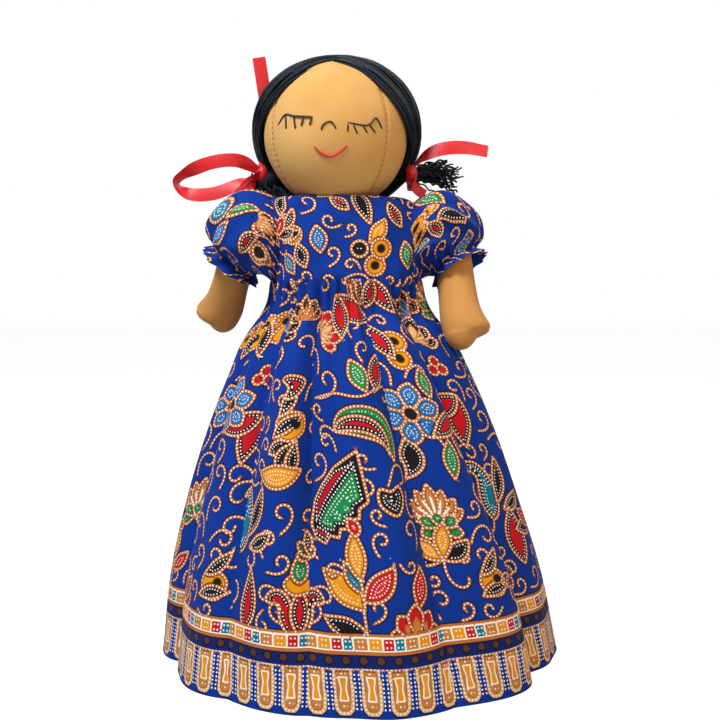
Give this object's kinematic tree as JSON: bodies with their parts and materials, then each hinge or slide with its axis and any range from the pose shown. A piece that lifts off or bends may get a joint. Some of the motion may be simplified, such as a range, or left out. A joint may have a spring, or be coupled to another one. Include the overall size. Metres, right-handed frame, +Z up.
{
  "type": "topsy-turvy doll",
  "caption": "Cloth doll in a gathered batik dress; the full skirt flips over to hide it and show a second doll joined on at the waist, with arms, heads and pigtails that move.",
  "frame": {"origin": "on the floor, under the middle of the skirt's hem", "axes": "+Z up through the waist to the shown doll's head, the faces look along -Y, +X is the shown doll's left"},
  "size_m": [0.2024, 0.2022, 0.302],
  "materials": {
    "skin_cotton": "plain tan cotton",
    "brown_cotton": "plain brown cotton",
    "wadding": "loose fibre",
    "black_yarn": "fine yarn",
    "brown_yarn": "fine yarn",
    "red_satin": "satin ribbon",
    "black_thread": "stranded thread",
    "red_thread": "stranded thread",
    "batik_cotton": "printed cotton",
    "dotted_cotton": "printed cotton",
    "elastic": "woven elastic",
    "tape": "cotton tape"
  },
  "bodies": {
    "torso": {"torso_skin": "skin_cotton", "torso_stuffing": "wadding", "waist_cord": "tape", "outer_skirt": "batik_cotton", "inner_skirt": "dotted_cotton", "upper_bodice": "batik_cotton", "lower_bodice": "dotted_cotton"},
    "hem": {"hem_strip": "tape"},
    "upper_head": {"upper_head_skin": "skin_cotton", "upper_head_stuffing": "wadding", "upper_nose": "black_thread", "upper_mouth": "red_thread", "upper_hair_left": "black_yarn", "upper_eye_left": "black_thread", "upper_hair_right": "black_yarn", "upper_eye_right": "black_thread", "upper_ribbon_left": "red_satin", "upper_ribbon_right": "red_satin"},
    "upper_arm_left": {"upper_arm_skin_left": "skin_cotton", "upper_arm_stuffing_left": "wadding", "upper_sleeve_left": "batik_cotton", "upper_sleeve_elastic_left": "elastic"},
    "upper_arm_right": {"upper_arm_skin_right": "skin_cotton", "upper_arm_stuffing_right": "wadding", "upper_sleeve_right": "batik_cotton", "upper_sleeve_elastic_right": "elastic"},
    "lower_head": {"lower_head_skin": "brown_cotton", "lower_head_stuffing": "wadding", "lower_nose": "black_thread", "lower_mouth": "red_thread", "lower_hair_left": "brown_yarn", "lower_eye_left": "black_thread", "lower_hair_right": "brown_yarn", "lower_eye_right": "black_thread"},
    "lower_arm_left": {"lower_arm_skin_left": "brown_cotton", "lower_arm_stuffing_left": "wadding", "lower_sleeve_left": "dotted_cotton", "lower_sleeve_elastic_left": "elastic"},
    "lower_arm_right": {"lower_arm_skin_right": "brown_cotton", "lower_arm_stuffing_right": "wadding", "lower_sleeve_right": "dotted_cotton", "lower_sleeve_elastic_right": "elastic"},
    "upper_pigtail_left": {"upper_pigtail_left": "black_yarn"},
    "upper_pigtail_right": {"upper_pigtail_right": "black_yarn"}
  },
  "joints": [
    {"name": "upper_head_turn", "type": "hinge", "parent": "torso", "child": "upper_head", "pos_m": [-0.012, 0, 0.2265], "axis": [0, 0, 1], "range_deg": [-20, 20]},
    {"name": "lower_head_turn", "type": "hinge", "parent": "torso", "child": "lower_head", "pos_m": [-0.0055, 0, 0.141], "axis": [0, 0, 1], "range_deg": [-8, 8]},
    {"name": "upper_shoulder_left", "type": "hinge", "parent": "torso", "child": "upper_arm_left", "pos_m": [0.046, 0, 0.207], "axis": [-1, 0, 0], "range_deg": [0, 70]},
    {"name": "upper_shoulder_right", "type": "hinge", "parent": "torso", "child": "upper_arm_right", "pos_m": [-0.06, 0, 0.207], "axis": [-1, 0, 0], "range_deg": [-10, 100]},
    {"name": "lower_shoulder_left", "type": "hinge", "parent": "torso", "child": "lower_arm_left", "pos_m": [-0.0385, 0, 0.159], "axis": [-1, 0, 0], "range_deg": [-12, 12]},
    {"name": "lower_shoulder_right", "type": "hinge", "parent": "torso", "child": "lower_arm_right", "pos_m": [0.0245, 0, 0.159], "axis": [-1, 0, 0], "range_deg": [-12, 12]},
    {"name": "upper_pigtail_swing_left", "type": "hinge", "parent": "upper_head", "child": "upper_pigtail_left", "pos_m": [0.0259, 0.01249, 0.2424], "axis": [0, 1, 0], "range_deg": [-15, 25]},
    {"name": "upper_pigtail_swing_right", "type": "hinge", "parent": "upper_head", "child": "upper_pigtail_right", "pos_m": [-0.0499, 0.01249, 0.2424], "axis": [0, 1, 0], "range_deg": [-5, 25]},
    {"name": "skirt_lift", "type": "slide", "parent": "torso", "child": "hem", "axis": [0, 0, 1], "range_m": [0, 0.11], "deforming": ["outer_skirt", "inner_skirt"]}
  ]
}
